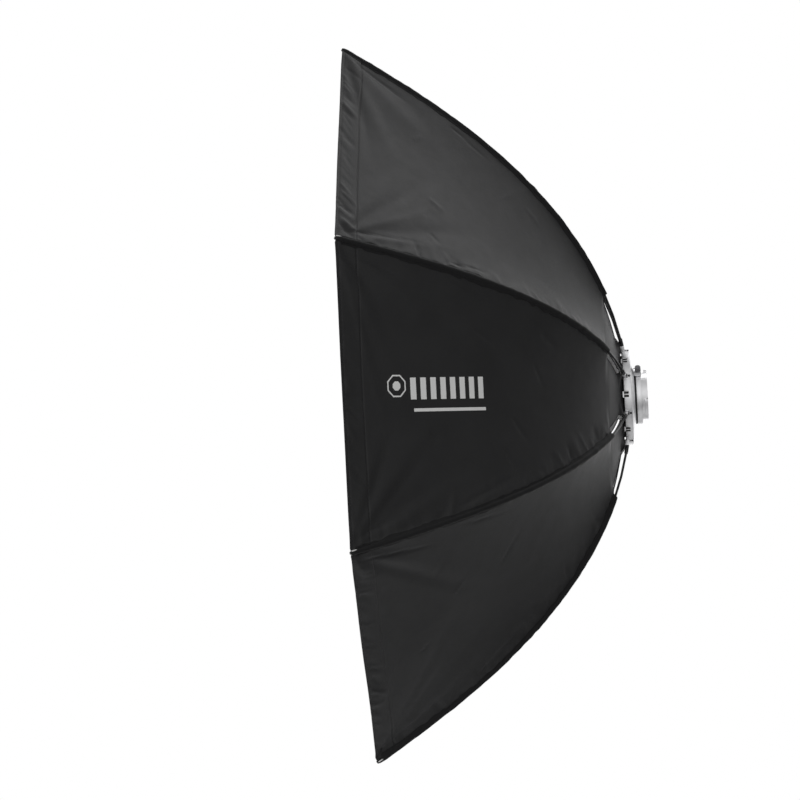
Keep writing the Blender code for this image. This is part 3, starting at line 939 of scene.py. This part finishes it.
def sector_normals(k, along, across, corner):
    """Normals that point to the front, from the surface's own slopes."""
    def slope(d_along, d_across):
        ahead = sector_surface(k, along + d_along, across + d_across, corner)
        return ahead - sector_surface(k, along - d_along, across - d_across, corner)

    normal = np.cross(slope(0.0, 0.002), slope(0.002, 0.0))
    normal /= np.linalg.norm(normal, axis=-1, keepdims=True)
    return -normal * np.sign(normal[..., :1])


def sector_piece(k, looks, corner):
    """One kite-shaped sector of the front diffuser, with its hem and seams."""
    build = Build()
    flat = corner * math.cos(HALF)
    rows = 56
    columns = 33
    area = 0.0
    for side in (-1, 1):
        along = np.zeros((rows, columns // 2 + 1))
        across = np.zeros_like(along)
        for j in range(along.shape[1]):
            lean = side * HALF * j / (columns // 2)
            reach_here = flat / math.cos(HALF - abs(lean))
            distance = 0.002 + (reach_here - 0.002) * (np.arange(rows) / (rows - 1)) ** 0.9
            along[:, j] = distance * math.cos(lean)
            across[:, j] = distance * math.sin(lean)
        points = sector_surface(k, along, across, corner)
        normal = sector_normals(k, along, across, corner)
        coords = np.stack([along, across], -1)
        add_sheet(build, points, normal, coords, 0.0006, (0, 0))
        area += grid_area(points)
        front = points + normal * 0.0005
        add_stitches(build, front[:, -2], normal[:, -2], 1)
        add_stitches(build, front[-3], normal[-3], 1)
        add_tube(build, points[-1], 0.0016, 2, 8)
    return build.piece(f"diffuser_cloth_{k + 1}", looks), area


def make_diffuser(looks):
    """The white front in eight sectors, each hinged at its rib's tip."""
    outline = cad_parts["diffuser_sector_1"].data.vertices
    corner = max(math.hypot(v.co.y, v.co.z) for v in outline)
    totals = []
    for k in range(RIBS):
        piece, area = sector_piece(k, looks, corner)
        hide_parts(f"diffuser_sector_{k + 1}")
        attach(piece, f"diffuser_{k + 1}")
        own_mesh(piece)
        totals.append(area)
    return totals


# ---------------------------------------------------------------- CAD pieces that stay

def finish_cad(node, look, bevel=0.0):
    """Give a CAD node its material, smooth rounds and small edge bevels."""
    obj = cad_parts[node]
    obj.data.materials.clear()
    obj.data.materials.append(look)
    weld = obj.modifiers.new("weld", "WELD")
    weld.merge_threshold = 0.00001
    if bevel:
        edge = obj.modifiers.new("edge", "BEVEL")
        edge.width = bevel
        edge.segments = 2
        edge.limit_method = "ANGLE"
        edge.angle_limit = math.radians(35)
        edge.harden_normals = False
    obj.data.shade_smooth()
    obj.data.set_sharp_from_angle(angle=math.radians(30))


def paint_recess_shade(look):
    """Give the walls of the ring's slots and pockets the dark recess material: painted shade."""
    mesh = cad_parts["speed_ring"].data
    mesh.materials.append(look)
    for face in mesh.polygons:
        middle = face.center
        r = math.hypot(middle.y, middle.z)
        # Faces inside the slots and pockets, away from the rim and the front face, get the painted shade.
        if 0.0830 < r < 0.0955 and -0.0346 < middle.x < -0.0255:
            face.material_index = 1


def finish_hub(looks):
    finish_cad("bayonet_adapter", looks["machined"], 0.0005)
    finish_cad("retaining_ring", looks["machined"], 0.0004)
    # The friction washer between the speed ring and the adapter's flange is black plastic; its dark colour
    # also stands in for the shade in that gap, partly painted shade.
    finish_cad("friction_washer", looks["black_plastic"], 0.0003)
    finish_cad("speed_ring", looks["cast"], 0.0004)
    # Painted shade on the walls of the ring's slots and pockets.
    paint_recess_shade(looks["recess"])
    finish_cad("rotation_lock_knob", looks["grey_plastic"], 0.0003)
    finish_cad("hub_collar", looks["webbing"], 0.0005)
    for n in range(1, RIBS + 1):
        finish_cad(f"rib_holder_{n}", looks["cast"], 0.0004)
        finish_cad(f"hinge_pin_{n}", looks["steel"], 0.0002)
        finish_cad(f"rib_rod_{n}", looks["rod"])
        finish_cad(f"release_button_{n}", looks["black_plastic"], 0.0003)


# ---------------------------------------------------------------- light, camera, floor

def make_world():
    """White for the camera; for the light a bright back and top, and a dim side beyond the hub."""
    world = bpy.data.worlds.new("studio")
    bpy.context.scene.world = world
    world.use_nodes = True
    tree = world.node_tree
    tree.nodes.clear()

    def node(kind, **settings):
        return add_node(tree, kind, **settings)

    def ramped(source, stops):
        """A level that follows one part of the direction, which runs from -1 to 1."""
        span = node("MapRange")
        span.inputs["From Min"].default_value = -1.0
        tree.links.new(source, span.inputs["Value"])
        ramp = node("ValToRGB")
        set_stops(ramp, [((place + 1) / 2, (level,) * 3) for place, level in stops])
        tree.links.new(span.outputs[0], ramp.inputs["Fac"])
        return ramp.outputs["Color"]

    def both(operation, a, b):
        made = node("MixRGB", blend_type=operation)
        made.inputs[0].default_value = 1.0
        tree.links.new(a, made.inputs[1])
        tree.links.new(b, made.inputs[2])
        return made.outputs[0]

    split = node("SeparateXYZ")
    tree.links.new(node("TexCoord").outputs["Generated"], split.inputs[0])
    along, back, up = split.outputs
    sky = ramped(up, [
        (-1.0, 0.05), (-0.3, 0.07), (0.05, 0.18), (0.35, 0.22), (0.75, 0.20), (1.0, 0.26),
    ])
    wall = ramped(back, [
        (-1.0, 0.80), (-0.75, 0.50), (0.0, 0.0), (0.4, 0.12), (0.75, 0.90), (1.0, 2.2),
    ])
    low = ramped(up, [(-1.0, 0.30), (-0.5, 0.55), (-0.05, 1.0), (1.0, 1.0)])
    side = ramped(along, [(-1.0, 1.0), (0.15, 1.0), (0.6, 0.84), (0.85, 0.58), (1.0, 0.32)])
    front = ramped(along, [(-1.0, 0.75), (-0.7, 0.45), (-0.25, 0.0)])
    wall = both("MULTIPLY", wall, low)
    level = both("ADD", both("MULTIPLY", both("ADD", sky, wall), side), front)
    lit = node("Background")
    tree.links.new(level, lit.inputs["Color"])
    seen = node("Background")
    seen.inputs["Color"].default_value = (1, 1, 1, 1)
    mix = node("MixShader")
    tree.links.new(node("LightPath").outputs["Is Camera Ray"], mix.inputs[0])
    tree.links.new(lit.outputs[0], mix.inputs[1])
    tree.links.new(seen.outputs[0], mix.inputs[2])
    tree.links.new(mix.outputs[0], node("OutputWorld").inputs["Surface"])


def add_lamp(name, place, target, size, power):
    lamp = bpy.data.lights.new(name, "AREA")
    lamp.shape = "DISK"
    lamp.size = size
    lamp.energy = power
    made = bpy.data.objects.new(name, lamp)
    made.location = place
    aim = Vector(target) - Vector(place)
    made.rotation_euler = aim.to_track_quat("-Z", "Y").to_euler()
    bpy.context.scene.collection.objects.link(made)


def make_floor():
    """A pale round floor that fades out at its edge."""
    sides = 96
    around = [2 * math.pi * i / sides for i in range(sides)]
    mesh = bpy.data.meshes.new("studio_floor")
    rim = [
        (FLOOR_SIZE * math.cos(a) + FLOOR_X, FLOOR_SIZE * math.sin(a), FLOOR_Z) for a in around
    ]
    mesh.from_pydata(rim, [], [tuple(range(sides))])
    floor = bpy.data.objects.new("studio_floor", mesh)
    bpy.context.scene.collection.objects.link(floor)
    shader = Shader("studio_floor")
    coords = shader.object_coords()
    shade = shader.noise(coords, 0.4, 2.0)
    colour = shader.ramp(shade, [(0.3, (0.76, 0.76, 0.76)), (0.7, (0.80, 0.80, 0.80))])
    shader.set(Base_Color=colour, Roughness=0.9)
    x, y = shader.split(coords)[:2]
    x = shader.math("SUBTRACT", x, FLOOR_X)
    squares = shader.math("ADD", shader.math("POWER", x, 2.0), shader.math("POWER", y, 2.0))
    far = shader.math("SQRT", squares)
    fade = shader.node("MapRange", interpolation_type="SMOOTHSTEP")
    shader.feed(fade, Value=far)
    fade.inputs["From Min"].default_value = 0.45 * FLOOR_SIZE
    fade.inputs["From Max"].default_value = FLOOR_SIZE
    clear = shader.node("BsdfTransparent")
    mix = shader.node("MixShader")
    shader.link(fade.outputs[0], mix.inputs[0])
    shader.link(shader.main.outputs[0], mix.inputs[1])
    shader.link(clear.outputs[0], mix.inputs[2])
    shader.link(mix.outputs[0], shader.out.inputs["Surface"])
    mesh.materials.append(shader.material)


def make_camera():
    """The photograph's viewpoint: a long lens, a little below the axis and behind the front."""
    distance = 6.6
    azimuth, elevation, roll = map(math.radians, (3.50, -2.56, -2.87))
    target = Vector((-0.4883, 0.0, 0.0169))
    away = Vector((
        math.sin(azimuth) * math.cos(elevation),
        -math.cos(azimuth) * math.cos(elevation),
        math.sin(elevation),
    ))
    camera = bpy.data.cameras.new("camera")
    camera.sensor_width = 36.0
    camera.lens = 146.4
    camera.clip_end = 200.0
    made = bpy.data.objects.new("camera", camera)
    made.location = target + away * distance
    made.rotation_mode = "QUATERNION"
    tilt = Matrix.Rotation(roll, 3, "Z").to_quaternion()
    made.rotation_quaternion = (-away).to_track_quat("-Z", "Y") @ tilt
    bpy.context.scene.collection.objects.link(made)
    bpy.context.scene.camera = made


def make_studio():
    scene = bpy.context.scene
    scene.view_settings.view_transform = "Standard"
    make_world()
    add_lamp("key_above", (1.3, 1.0, 3.0), (-0.25, -0.1, 0.2), 2.0, 18)
    make_floor()
    make_camera()


def main():
    looks = {
        "cast": cast_aluminium(),
        # The recess material is painted shade for the walls of the ring's slots and pockets.
        "recess": recess_painted_shade(),
        "machined": machined_aluminium(),
        "steel": pin_steel(),
        "rod": black_rod(),
        "black_plastic": moulded_plastic("black_plastic", (0.012, 0.012, 0.013), (0.024, 0.024, 0.025)),
        "grey_plastic": moulded_plastic("grey_plastic", (0.13, 0.13, 0.14), (0.19, 0.19, 0.20)),
        # Pale plastic of the tip caps, which also stand in for a glint at the corners: partly painted
        # highlight.
        "cap": moulded_plastic("pale_plastic_glint", (0.62, 0.62, 0.61), (0.74, 0.74, 0.73)),
        "webbing": webbing(),
    }
    cloth, printed, lining = canopy_cloth(), canopy_cloth(marked=True), silver_lining()
    black_thread = thread("black_thread", (0.020, 0.020, 0.021))
    white_thread = thread("white_thread", (0.75, 0.75, 0.74))
    looks["cloth_slots"] = [cloth, lining, black_thread, looks["webbing"]]
    areas = {
        "canopy": make_canopy(looks["cloth_slots"], printed),
        "sleeves": make_ribs(looks),
        "diffuser": make_diffuser([diffuser_cloth(), white_thread, looks["webbing"]]),
    }
    print({name: round(sum(values), 3) for name, values in areas.items()})
    finish_hub(looks)
    make_studio()


main()
